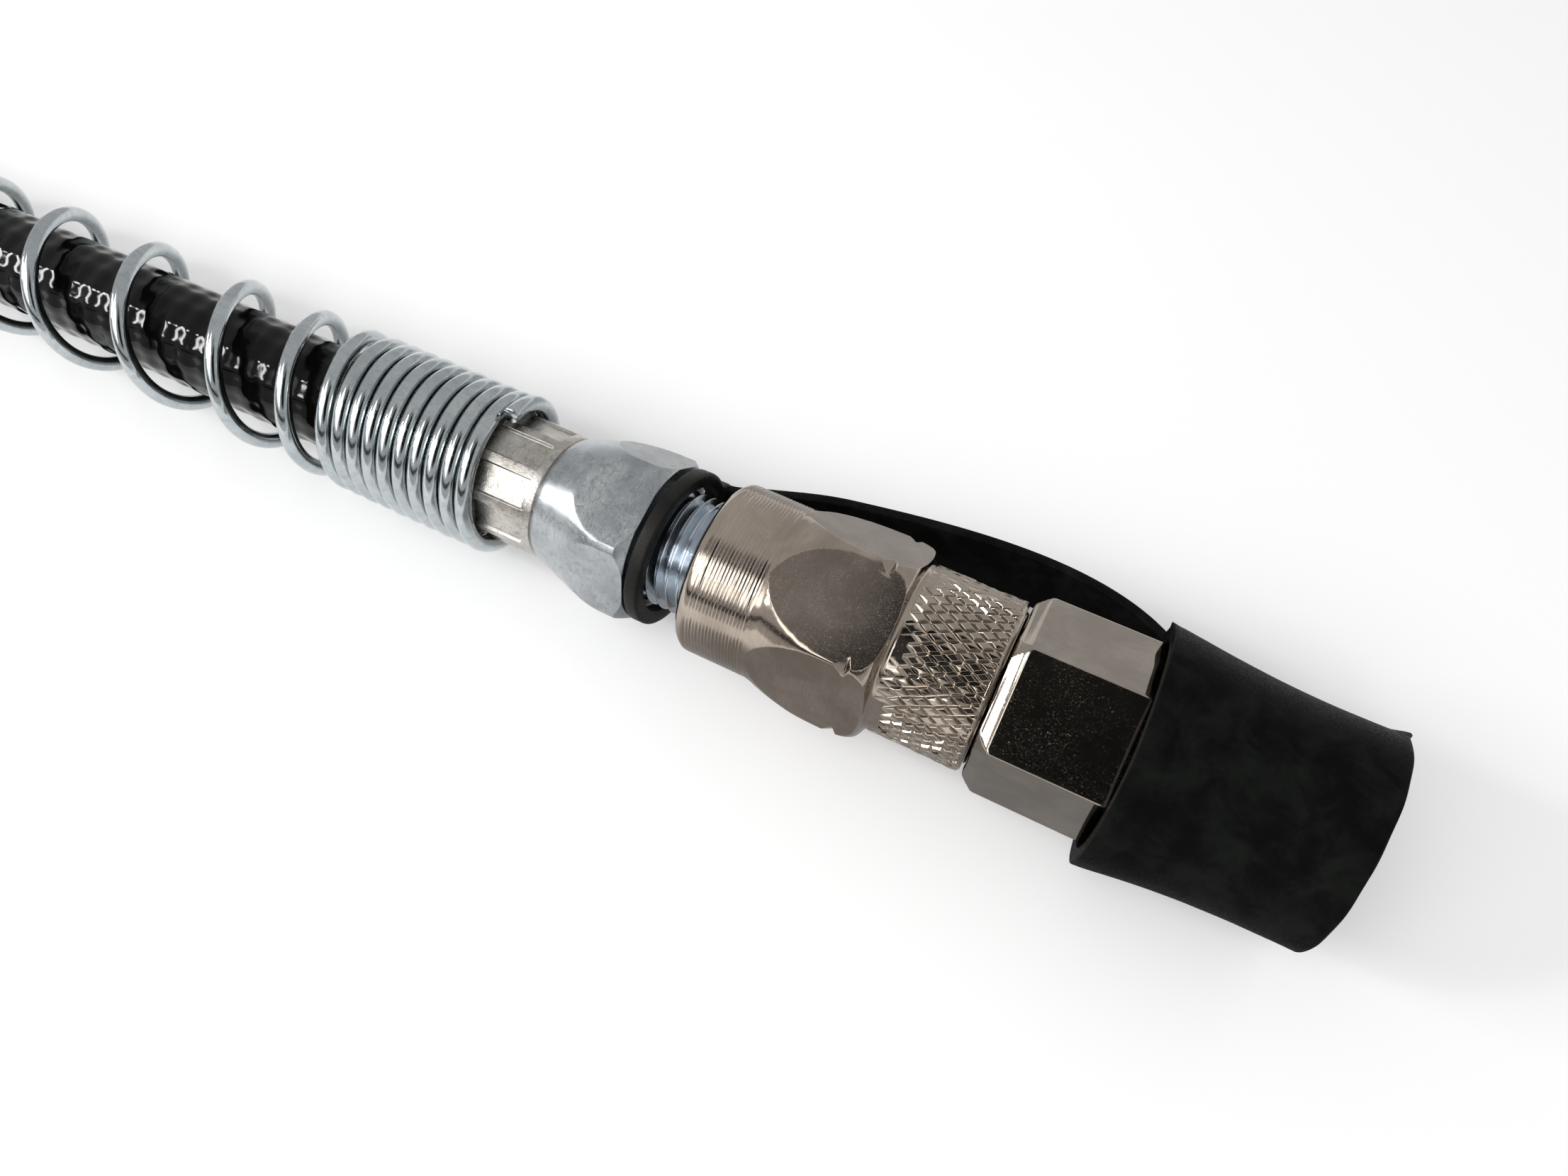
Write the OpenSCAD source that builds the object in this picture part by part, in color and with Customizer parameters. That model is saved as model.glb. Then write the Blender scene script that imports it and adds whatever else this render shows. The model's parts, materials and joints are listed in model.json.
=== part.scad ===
// Whip hose of a grease gun: a spring-guarded hose with a crimped fitting at each end and a
// four-jaw grease coupler under a rubber dust cap. The coupler's axis runs along +X, the cap
// is at the +X end and the whole thing lies on the plane z = 0. All lengths in millimetres.
// "Station" means the distance along the axis from the rear face of the coupler body.

/* [Hose] */
// Outside diameter of the hose
hose_od = 9.4; // [8.6:0.1:10.6]
// Bore of the hose
hose_bore = 5.2; // [4.4:0.1:6]

/* [Spring guard] */
// Diameter of the guard's wire
guard_wire_d = 1.3; // [1:0.05:1.6]
// Outside diameter of the open turns
guard_od = 14.4; // [14.2:0.1:16]
// Gap between the close turns that grip a ferrule
guard_close_gap = 0.57; // [0.5:0.01:0.8]
// Close turns at each end
guard_close_turns = 9; // [6:1:9]
// Turns over which the guard opens out
guard_taper_turns = 2; // [1:1:3]
// Open turns
guard_open_turns = 18; // [14:1:20]

/* [Fittings] */
// Thickness of a ferrule's wall
ferrule_wall = 0.88; // [0.7:0.01:1.2]
// Depth of the crimped flats below the ferrule's ridges
crimp_depth = 0.2; // [0.1:0.01:0.25]
// Number of crimped flats
crimp_count = 8; // [6:1:12]
// Length of a ferrule
ferrule_len = 22.4; // [18:0.1:28]
// Size across the flats of the stem's hexagon
stem_af = 13.3; // [12:0.1:15]
// Length of the stem's shoulder and hexagon together
stem_head_len = 9.6; // [8.6:0.1:12]
// Crest diameter of the pipe thread
thread_d = 10.1; // [9.6:0.05:10.4]
// Length of the pipe thread
thread_len = 11.2; // [9.5:0.1:13]
// Length of thread that is screwed into the coupler
thread_in = 6.2; // [5:0.1:7]
// Thickness of the stem's wall under its barbs
stem_wall = 0.5; // [0.4:0.05:0.8]

/* [Coupler body] */
// Size across the flats of the body's hexagon
body_af = 14.8; // [14:0.1:16]
// Diameter of the plain rear cylinder
body_rear_d = 14.7; // [13.6:0.1:14.7]
// Diameter of the knurled grip
knurl_d = 14.1; // [13.4:0.1:14.6]
// Length from the rear face to the front of the knurled grip
body_len = 24.4; // [23:0.1:28]
// Diameter of the front neck that carries the nose nut
neck_d = 12.6; // [12:0.05:12.8]
// Length of the front neck
neck_len = 6.6; // [6:0.1:7.2]
// Bore for the piston
piston_bore = 8.8; // [8.4:0.05:9.2]

/* [Nose nut and jaws] */
// Size across the flats of the nose nut
nut_af = 14.1; // [13.8:0.05:14.6]
// Gap between the knurled grip and the nut
nut_gap = 0.3; // [0.27:0.01:0.5]
// Length of the nose nut
nut_len = 16.3; // [16:0.1:18]
// Length of the nut's hexagon
nut_hex_len = 11.3; // [10.5:0.1:11.6]
// Diameter of the nut's mouth
mouth_d = 9.2; // [8.8:0.05:9.6]
// Length of the mouth's straight wall
mouth_len = 1.2; // [1:0.1:1.6]
// Half angle of the nut's inner cone
cone_angle = 14; // [12:0.5:16]
// Length of a jaw
jaw_len = 5.2; // [4.8:0.1:5.6]
// Gap between neighbouring jaws, as an angle
jaw_gap_angle = 10; // [8:0.5:14]
// Bore behind the lips of the jaws
jaw_bore = 6.8; // [6.6:0.05:7.2]
// Bore at the lips of the jaws
lip_bore = 6.0; // [6:0.05:6.2]

/* [Piston and check valve] */
// Length of the piston
piston_len = 6.4; // [5.8:0.1:6.8]
// Thickness of the nose seal
seal_len = 2.7; // [2.4:0.1:3]
// Passage through the piston and seal
passage_d = 2.4; // [2:0.1:2.8]
// Diameter of the check ball
ball_d = 4.4; // [4.2:0.1:4.6]
// Wire of the jaw spring
jaw_wire_d = 0.8; // [0.6:0.05:0.9]
// Gap between the jaw spring and the piston's bore
jaw_spring_gap = 0.6; // [0.4:0.1:0.8]
// Wire of the check spring
check_wire_d = 0.4; // [0.3:0.05:0.5]
// Mean diameter of the check spring
check_spring_d = 2.6; // [2.2:0.1:3]

/* [Dust cap] */
// Outside diameter of the cap's rim
rim_d = 19.4; // [18.8:0.1:21]
// Outside diameter of the cap's closed end
cap_end_d = 17.2; // [16.8:0.1:18]
// Length of the cap
cap_len = 16.5; // [16:0.1:20]
// Thickness of the cap's closed end
cap_end_t = 2; // [1.5:0.1:2.5]
// Depth of the cap over the nose nut's hexagon
cap_over_hex = 4.4; // [4.2:0.1:5]
// Thickness of the strap
strap_t = 0.9; // [0.7:0.05:1.1]
// Width of the strap
strap_w = 5.6; // [4.5:0.1:6]
// Angle of the strap round the axis, up from +Y
strap_angle = -10; // [-18:1:6]
// Width of the strap's ring, from its hole to its edge
ring_wall = 1.4; // [1:0.1:1.9]
// Play of the strap's ring on the pipe thread, on the diameter
ring_play = 1.1; // [0.8:0.1:1.5]
// Thickness of the strap's ring
ring_t = 1.8; // [1.4:0.1:2.2]

/* [Hidden] */
$fn = 64;

// Clearances
fit_gap = 0.05;      // running or screwed fit, on the radius
seat_gap = 0.02;     // parts that rest on each other
slip_gap = 0.1;      // faces that move past each other, along the axis

// Turns of the hexagons round the axis, as the assembly was tightened
stem_turn = 105.4;
body_turn = 109.3;
nut_turn = 121.5;

// Route of the hose's centreline, from the front ferrule's mouth to the rear one's: distance
// back from the front mouth, and share of the fall from the cap's height to the guard's.
ROUTE = [[0, 0], [12, 0], [24, 0.01], [36, 0.04], [48, 0.12], [60, 0.26], [72, 0.44],
    [84, 0.62], [96, 0.78], [108, 0.9], [120, 0.97], [140, 1], [160, 1], [180, 1],
    [200, 1], [218, 1]];

// Stations of the fitting
stem_face = thread_in - thread_len;
shoulder_start = stem_face - stem_head_len;
ferrule_mouth = shoulder_start - ferrule_len;
ferrule_end_wall = 1.3;
ferrule_r = hose_od / 2 + seat_gap + ferrule_wall;
flat_r = ferrule_r - crimp_depth;
tail_r = hose_bore / 2 - 0.15;
collar_r = tail_r + 0.5;
barb_depth = 0.35;
stem_bore_r = tail_r - barb_depth - stem_wall;

// Stations of the coupler
inlet_depth = thread_in + 1;
web_t = 1.8;
check_seat = inlet_depth + web_t;
check_passage_r = 1.5;
check_room_r = ball_d / 2 + 0.5;
retainer_seat = check_seat + ball_d + 2.6;
retainer_t = 1;
neck_end = body_len + neck_len;
nut_start = body_len + nut_gap;
nut_end = nut_start + nut_len;
jaw_end = nut_end - mouth_len - slip_gap;
jaw_start = jaw_end - jaw_len;
seal_end = jaw_start - seat_gap;
seal_start = seal_end - seal_len;
piston_end = seal_start - seat_gap;
piston_start = piston_end - piston_len;
piston_r = piston_bore / 2 - fit_gap;
jaw_spring_r = piston_bore / 2 - jaw_spring_gap - jaw_wire_d / 2;
mouth_r = mouth_d / 2;
function cone_r(s) = mouth_r + (nut_end - mouth_len - s) * tan(cone_angle);
cone_start = jaw_start - 0.2;
nut_bore_r = neck_d / 2 + fit_gap;

// Stations of the cap and strap
cap_start = nut_end - 6.5;
cap_end = cap_start + cap_len;
ring_end = stem_face + 0.4 + ring_t;
ring_start = ring_end - ring_t;
ring_hole = thread_d + ring_play;
ring_od = ring_hole + 2 * ring_wall;
cap_hex_r = nut_af / sqrt(3) + 0.3;
cap_grip_r = nut_af / 2 - 0.05;

// Strap: a curve in the plane of the axis, from the ring's lug to the cap's rim
strap_steps = 24;
lug_top = ring_od / 2 + 0.9;
strap_from = [ring_end, lug_top - strap_t / 2];
strap_to = [cap_start, rim_d / 2 - 0.2 - strap_t / 2];
strap_bow = body_af / sqrt(3) + 7.7;
strap_pull = [[5, lug_top + 0.8], [24, strap_bow]];
function bend(t) = pow(1 - t, 3) * strap_from + 3 * t * pow(1 - t, 2) * strap_pull[0]
    + 3 * t * t * (1 - t) * strap_pull[1] + pow(t, 3) * strap_to;
function bend_way(t) = t == 0 || t == 1 ? [1, 0]
    : let(v = bend(t + 0.01) - bend(t - 0.01)) v / norm(v);
function beside(t, d) = bend(t) + d * [-bend_way(t)[1], bend_way(t)[0]];
strap_outer = [for (i = [0:strap_steps]) beside(i / strap_steps, strap_t / 2)];
strap_inner = [for (i = [strap_steps:-1:0]) beside(i / strap_steps, -strap_t / 2)];
strap_top = max([for (p = strap_outer) p[1]]);

// Place of the coupler's axis: the coupler, its fitting and cap are centred on the origin
reach_back = strap_top * cos(strap_angle) + strap_w / 2 * abs(sin(strap_angle));
axis_x = -(ferrule_mouth + cap_end) / 2;
axis_y = -(reach_back - rim_d / 2) / 2;
axis_z = rim_d / 2;

// The hose lies in line with the coupler; the cap's rim and the guard rest on z = 0
hose_front = axis_x + ferrule_mouth;
route = [for (p = ROUTE) [hose_front - p[0], axis_z - p[1] * (rim_d - guard_od) / 2]];
route_start = route[0];
route_end = route[len(route) - 1];
route_heights = [for (i = [len(route) - 1:-1:0]) route[i]];
function axis_height(x) = lookup(x, route_heights);

// Spring guard
guard_steps = 8;
guard_wire_r = guard_wire_d / 2;
guard_close_pitch = guard_wire_d + guard_close_gap;
wire_flat = guard_wire_r * cos(30);
corner_push = 2 / (1 + cos(180 / guard_steps));
guard_open_r = (guard_od / 2 - guard_wire_r) * corner_push;
guard_close_r = (ferrule_r + fit_gap + wire_flat) / cos(180 / guard_steps);
guard_cover = guard_close_turns * guard_close_pitch;
guard_from = route_start[0] + guard_cover + 0.3;
guard_to = route_end[0] - guard_cover - 0.3;
guard_turns = 2 * guard_close_turns + 2 * guard_taper_turns + guard_open_turns;
guard_open_pitch = (guard_from - guard_to - 2 * guard_cover
    - guard_taper_turns * guard_close_pitch) / (guard_open_turns + guard_taper_turns);

// Share of the way from close to open, at a number of turns from the nearer end
function openness(n) = max(0, min(1, (n - guard_close_turns) / guard_taper_turns));
// Distance wound on from the nearer end after n turns
function wound(n) = let(
        a = min(n, guard_close_turns),
        b = max(0, min(n - guard_close_turns, guard_taper_turns)),
        c = max(0, n - guard_close_turns - guard_taper_turns))
    a * guard_close_pitch
    + b * guard_close_pitch
    + (guard_open_pitch - guard_close_pitch) * b * b / (2 * guard_taper_turns)
    + c * guard_open_pitch;
function guard_x(n) = n <= guard_turns / 2 ? guard_from - wound(n)
    : guard_to + wound(guard_turns - n);
function guard_r(n) = let(k = openness(min(n, guard_turns - n)), e = k * (2 - k))
    guard_close_r + (guard_open_r - guard_close_r) * e;
function guard_point(n) = let(x = guard_x(n), r = guard_r(n), a = -360 * (n + 0.5 / guard_steps))
    [x, axis_y + r * cos(a), axis_height(x) + r * sin(a)];
function guard_centre(n) = [guard_x(n), axis_y, axis_height(guard_x(n))];

// A coil of constant radius round the X axis
function coil_point(from, pitch, r, n) = [from + pitch * n, r * cos(360 * n), r * sin(360 * n)];

function unit(v) = v / norm(v);
// Gap between a path's points and those about one turn on, less the wire
function least_gap(path, steps, wire) = min([for (i = [0:len(path) - steps - 4])
    for (j = [i + steps - 3:i + steps + 3]) norm(path[i] - path[j])]) - wire;

// A wire swept along a path, its flats turned towards the winding's axis; centres are the
// points of that axis. Each end runs on straight for one diameter.
module wound_wire(path, centres, r) {
    last = len(path) - 1;
    way = [for (i = [0:last]) unit(path[min(i + 1, last)] - path[max(i - 1, 0)])];
    run = concat([path[0] - 2 * r * way[0]], path, [path[last] + 2 * r * way[last]]);
    ways = concat([way[0]], way, [way[last]]);
    outs = concat([path[0] - centres[0]], [for (i = [0:last]) path[i] - centres[i]],
        [path[last] - centres[last]]);
    ring_count = len(run);
    points = [for (i = [0:ring_count - 1])
        let(w = ways[i], o = unit(outs[i] - (outs[i] * w) * w), b = cross(w, o))
        for (k = [0:5]) run[i] + r * (cos(30 + 60 * k) * o + sin(30 + 60 * k) * b)];
    sides = [for (i = [0:ring_count - 2]) for (k = [0:5])
        let(a = 6 * i + k, b = 6 * i + (k + 1) % 6)
        each [[a, a + 6, b], [b, a + 6, b + 6]]];
    front = [for (k = [1:4]) [0, k, k + 1]];
    back = [for (k = [1:4]) let(z = 6 * (ring_count - 1)) [z, z + k + 1, z + k]];
    polyhedron(points = points, faces = concat(sides, front, back), convexity = 10);
}

// Places a piece of the coupler, modelled round the X axis by station
module on_axis() {
    translate([axis_x, axis_y, axis_z]) children();
}

// Turns the front fitting end for end, with one flat of its hexagon facing down, and puts its
// ferrule's mouth at the route's end
module at_rear() {
    translate([route_end[0] + ferrule_mouth, axis_y, route_end[1]]) mirror([1, 0, 0])
        rotate([270 - stem_turn, 0, 0]) children();
}

// Revolves an outline of [station, radius] round the X axis
module turned(outline, angle = 360, start = 0) {
    rotate([start, 0, 0]) rotate([90, 0, 90]) rotate_extrude(angle = angle)
        polygon([for (p = outline) [p[1], p[0]]]);
}

// A hexagonal bar along the X axis with one flat facing the given angle
module hex_bar(af, turn, from, to) {
    translate([from, 0, 0]) rotate([turn, 0, 0]) rotate([0, 90, 0])
        cylinder(d = af * 2 / sqrt(3), h = to - from, $fn = 6);
}

module bore(r, from, to) {
    translate([from, 0, 0]) rotate([0, 90, 0]) cylinder(r = r, h = to - from);
}

// Hose: a tube swept along the route, its ends running straight into both ferrules
hose_in = ferrule_len - ferrule_end_wall - 0.4;
module hose() {
    sides = 12;
    path = concat([[route_start[0] + hose_in, route_start[1]]], route,
        [[route_end[0] - hose_in, route_end[1]]]);
    rings = len(path);
    wall = [hose_od / 2, hose_bore / 2];
    points = [for (r = wall) for (p = path) for (k = [0:sides - 1])
        let(a = 360 * (k + 0.5) / sides) [p[0], axis_y + r * cos(a), p[1] + r * sin(a)]];
    inner = rings * sides;
    skin = [for (i = [0:rings - 2]) for (k = [0:sides - 1])
        let(a = sides * i + k, b = sides * i + (k + 1) % sides)
        each [[a, b, a + sides], [b, b + sides, a + sides],
            [inner + a, inner + a + sides, inner + b],
            [inner + b, inner + a + sides, inner + b + sides]]];
    ends = [for (k = [0:sides - 1])
        let(b = (k + 1) % sides, z = sides * (rings - 1))
        each [[k, inner + k, b], [b, inner + k, inner + b],
            [z + k, z + b, inner + z + k], [z + b, inner + z + b, inner + z + k]]];
    color("#17181a") polyhedron(points = points, faces = concat(skin, ends), convexity = 4);
}

// Spring guard: one wire, closely wound on both ferrules and open in between
module spring_guard() {
    count = guard_turns * guard_steps;
    path = [for (i = [0:count]) guard_point(i / guard_steps)];
    centres = [for (i = [0:count]) guard_centre(i / guard_steps)];
    echo("least gap of the spring guard", least_gap(path, guard_steps, guard_wire_d));
    color("#8d9093") wound_wire(path, centres, guard_wire_r);
}

// Ferrule: a thin cup over the hose end, crimped to flats with ridges between them
module ferrule() {
    from = ferrule_mouth;
    to = shoulder_start - seat_gap;
    edge = 0.35;
    difference() {
        intersection() {
            turned([[from, 0], [from, ferrule_r - edge], [from + edge, ferrule_r],
                [to - edge, ferrule_r], [to, ferrule_r - edge], [to, 0]]);
            translate([from, 0, 0]) rotate([0, 90, 0])
                cylinder(r = flat_r / cos(180 / crimp_count), h = to - from, $fn = crimp_count);
        }
        bore(hose_od / 2 + seat_gap, from - 1, to - ferrule_end_wall);
        bore(collar_r + seat_gap, from - 1, to + 1);
    }
}

module front_ferrule() {
    color("#b9bcbe") on_axis() ferrule();
}

module rear_ferrule() {
    color("#b9bcbe") at_rear() ferrule();
}

// Stem: a barbed tail in the hose, a shoulder that runs out into a hexagon, and a pipe thread
module stem() {
    corner = stem_af / sqrt(3) - 0.2;
    flat = stem_af / 2;
    tail_start = ferrule_mouth + 3;
    tail_end = shoulder_start - ferrule_end_wall - seat_gap;
    barb = 2.6;
    barbs = floor((tail_end - tail_start - 1) / barb);
    tail = [for (i = [0:barbs - 1]) let(s = tail_start + i * barb)
        each [[s, tail_r - barb_depth], [s + barb - 0.4, tail_r], [s + barb, tail_r]]];
    difference() {
        union() {
            turned(concat([[tail_start, 0]], tail, [[tail_end, tail_r], [tail_end, collar_r],
                [shoulder_start + 1, collar_r], [shoulder_start + 1, thread_d / 2 - 0.5],
                [stem_face, thread_d / 2 - 0.5], [stem_face + 0.5, thread_d / 2],
                [thread_in - 0.8, thread_d / 2], [thread_in, thread_d / 2 - 0.8],
                [thread_in, 0]]));
            intersection() {
                turned([[shoulder_start, 0], [shoulder_start, ferrule_r - 0.1],
                    [shoulder_start + 1.6, ferrule_r + 0.5],
                    [shoulder_start + 3.4, flat], [shoulder_start + 4.9, flat + 0.5],
                    [shoulder_start + 6.3, corner], [stem_face - 0.45, corner],
                    [stem_face, flat + 0.25], [stem_face, 0]]);
                hex_bar(stem_af, stem_turn, shoulder_start, stem_face);
            }
        }
        bore(stem_bore_r, tail_start - 1, thread_in + 1);
    }
}

module front_stem() {
    color("#9aa1a6") on_axis() stem();
}

module rear_stem() {
    color("#9aa1a6") at_rear() stem();
}

// Coupler body: turned from hexagonal bar, with a V groove that cuts only the corners
module coupler_body() {
    rear = body_rear_d / 2;
    flat = body_af / 2;
    corner = body_af / sqrt(3) - 0.05;
    groove = corner - 0.55;
    grip = knurl_d / 2;
    grip_start = body_len - 7.6;
    color("#a39c92") on_axis() difference() {
        intersection() {
            turned([[0, 0], [0, rear - 0.6], [0.2, rear - 0.3], [0.7, rear],
                [6, rear], [6.7, flat + 0.1], [7.4, flat + 0.33], [8.6, flat + 0.68],
                [9.8, flat + 0.94], [11, corner],
                [13.4, corner], [14.15, groove], [14.9, corner], [15.3, corner],
                [grip_start - 0.8, flat + 0.4], [grip_start - 0.45, grip - 0.1],
                [grip_start - 0.2, grip - 0.2], [grip_start, grip],
                [body_len - 0.4, grip], [body_len, grip - 0.35], [body_len, neck_d / 2],
                [neck_end - 0.4, neck_d / 2], [neck_end, neck_d / 2 - 0.4], [neck_end, 0]]);
            hex_bar(body_af, body_turn, 0, neck_end);
        }
        bore(thread_d / 2 + fit_gap, -1, inlet_depth);
        bore(check_passage_r, 0, neck_end);
        bore(check_room_r, check_seat, neck_end);
        bore(piston_bore / 2, retainer_seat, neck_end + 1);
    }
}

// Nose nut: hexagonal behind, round at the nose, with the cone that closes the jaws inside
module nose_nut() {
    corner = nut_af / sqrt(3) - 0.05;
    flat = nut_af / 2;
    hex_end = nut_start + nut_hex_len;
    nose = flat - 0.3;
    color("#aaa59c") on_axis() difference() {
        intersection() {
            turned([[nut_start, 0], [nut_start, flat - 0.2], [nut_start + 0.6, flat + 0.1],
                [nut_start + 1.3, corner], [hex_end, corner], [hex_end + 0.5, flat + 0.5],
                [hex_end + 1, nose], [nut_end - 0.6, nose - 0.25], [nut_end, nose - 0.8],
                [nut_end, 0]]);
            hex_bar(nut_af, nut_turn, nut_start, nut_end);
        }
        bore(nut_bore_r, nut_start - 1, cone_start);
        turned([[cone_start - seat_gap, 0], [cone_start - seat_gap, cone_r(cone_start)],
            [nut_end - mouth_len, mouth_r], [nut_end - mouth_len, 0]]);
        bore(mouth_r, nut_end - mouth_len - slip_gap, nut_end + 1);
    }
}

// Jaws: four segments of one ring, with lips that close behind the nipple's head
module jaw(k) {
    play = fit_gap / cos(cone_angle);
    heel = cone_r(jaw_start + 1.5) - play - 0.05;
    lip = lip_bore / 2;
    room = jaw_bore / 2;
    span = 90 - jaw_gap_angle;
    color("#8f8d8a") on_axis() turned([[jaw_start, room], [jaw_start, heel],
        [jaw_start + 1.5, heel], [jaw_end, cone_r(jaw_end) - play], [jaw_end, lip + 0.7],
        [jaw_end - 0.6, lip], [jaw_end - 1.2, lip], [jaw_end - 1.9, room]],
        span, 90 * (k - 1) - span / 2);
}

module jaw_1() { jaw(1); }
module jaw_2() { jaw(2); }
module jaw_3() { jaw(3); }
module jaw_4() { jaw(4); }

// Nose seal: a rubber disc whose dished face meets the nipple
module nose_seal() {
    hole = passage_d / 2;
    color("#20201f") on_axis() turned([[seal_start, hole], [seal_start, piston_r - 0.3],
        [seal_start + 0.3, piston_r], [seal_end, piston_r], [seal_end, hole + 1.6],
        [seal_end - 0.9, hole]]);
}

// Piston: carries the seal and is pushed forward by the jaw spring
module piston() {
    hole = passage_d / 2;
    spring_seat = piston_r - 0.9;
    color("#9a9c9e") on_axis() turned([[piston_start, hole], [piston_start, spring_seat - 0.9],
        [piston_start + 0.6, spring_seat - 0.7], [piston_start + 0.6, piston_r],
        [piston_end - 0.3, piston_r], [piston_end, piston_r - 0.3], [piston_end, hole]]);
}

// Jaw spring: between the check retainer and the piston
module jaw_spring() {
    turns = 4;
    steps = guard_steps;
    from = retainer_seat + retainer_t + jaw_wire_d / 2 + slip_gap;
    to = piston_start + 0.6 - jaw_wire_d / 2 - slip_gap;
    pitch = (to - from) / turns;
    path = [for (i = [0:turns * steps]) coil_point(from, pitch, jaw_spring_r, i / steps)];
    centres = [for (p = path) [p[0], 0, 0]];
    echo("least gap of the jaw spring", least_gap(path, steps, jaw_wire_d));
    color("#6f7274") on_axis() wound_wire(path, centres, jaw_wire_d / 2);
}

// Check retainer: a perforated disc that holds the check spring
module check_retainer() {
    from = retainer_seat + seat_gap;
    disc_r = piston_bore / 2 - fit_gap;
    hole_r = 0.6;
    color("#9a9c9e") on_axis() difference() {
        bore(disc_r, from, from + retainer_t - seat_gap);
        for (a = [0:60:300])
            rotate([a, 0, 0]) translate([0, check_room_r - hole_r - 0.3, 0])
                bore(hole_r, from - 1, from + retainer_t + 1);
    }
}

// Check ball: rests on the edge of the inlet passage
ball_r = ball_d / 2;
ball_centre = check_seat + sqrt(ball_r * ball_r - check_passage_r * check_passage_r) + 0.03;
module check_ball() {
    color("#b8bbbd") on_axis() translate([ball_centre, 0, 0]) sphere(r = ball_r);
}

// Check spring: between the ball and the retainer
module check_spring() {
    turns = 3;
    steps = guard_steps;
    r = check_spring_d / 2;
    wire_r = check_wire_d / 2;
    reach = ball_r + wire_r + fit_gap;
    from = ball_centre + sqrt(reach * reach - pow(r * cos(180 / steps), 2));
    to = retainer_seat - wire_r - slip_gap;
    path = [for (i = [0:turns * steps])
        coil_point(from, (to - from) / turns, r, i / steps)];
    centres = [for (p = path) [p[0], 0, 0]];
    echo("least gap of the check spring", least_gap(path, steps, check_wire_d));
    color("#6f7274") on_axis() wound_wire(path, centres, wire_r);
}

// Strap ring: hangs loosely on the pipe thread; its lug is the root of the strap
module strap_ring() {
    lug_bottom = ring_od / 2 - 1;
    edge = 0.25;
    color("#1b1b1a") on_axis() {
        difference() {
            union() {
                turned([[ring_start, 0], [ring_start, ring_od / 2 - edge],
                    [ring_start + edge, ring_od / 2], [ring_end - edge, ring_od / 2],
                    [ring_end, ring_od / 2 - edge], [ring_end, 0]]);
                rotate([strap_angle, 0, 0]) translate([ring_start, lug_bottom, -strap_w / 2])
                    cube([ring_t, lug_top - lug_bottom, strap_w]);
            }
            bore(ring_hole / 2, ring_start - 1, ring_end + 1);
        }
    }
}

// Strap: a flat band that bows out past the coupler from the ring to the cap's rim
module cap_strap() {
    color("#1b1b1a") on_axis() rotate([strap_angle, 0, 0])
        linear_extrude(strap_w, center = true) polygon(concat(strap_outer, strap_inner));
}

// Dust cap: flared rim, drawn-in waist and closed end; it grips the nut's round nose
module dust_cap() {
    end_r = cap_end_d / 2;
    rim_r = rim_d / 2;
    flare = rim_r - end_r;
    waist = cap_start + 0.68 * cap_len;
    arc_steps = 8;
    sides = [for (i = [0:arc_steps]) let(k = i / arc_steps)
        [cap_start + 1 + k * (waist - cap_start - 1), end_r + flare * pow(1 - k, 2)]];
    corner_r = 0.4;
    round_end = [for (a = [0:15:90])
        [cap_end - corner_r + corner_r * sin(a), end_r - corner_r + corner_r * cos(a)]];
    step = cap_start + cap_over_hex;
    color("#1e1f1e") on_axis() turned(concat(
        [[cap_start, cap_hex_r], [cap_start, rim_r - 0.2], [cap_start + 0.2, rim_r]],
        sides, round_end,
        [[cap_end, 0], [cap_end - cap_end_t, 0], [cap_end - cap_end_t, cap_grip_r - 0.6],
            [cap_end - cap_end_t - 0.6, cap_grip_r], [step + 0.6, cap_grip_r],
            [step, cap_hex_r]]));
}

hose();
spring_guard();
front_ferrule();
rear_ferrule();
front_stem();
rear_stem();
coupler_body();
nose_nut();
jaw_1();
jaw_2();
jaw_3();
jaw_4();
nose_seal();
piston();
jaw_spring();
check_retainer();
check_ball();
check_spring();
strap_ring();
cap_strap();
dust_cap();
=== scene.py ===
import json
import math

import bmesh
import bpy
import numpy as np
from mathutils import Matrix, Vector

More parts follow.
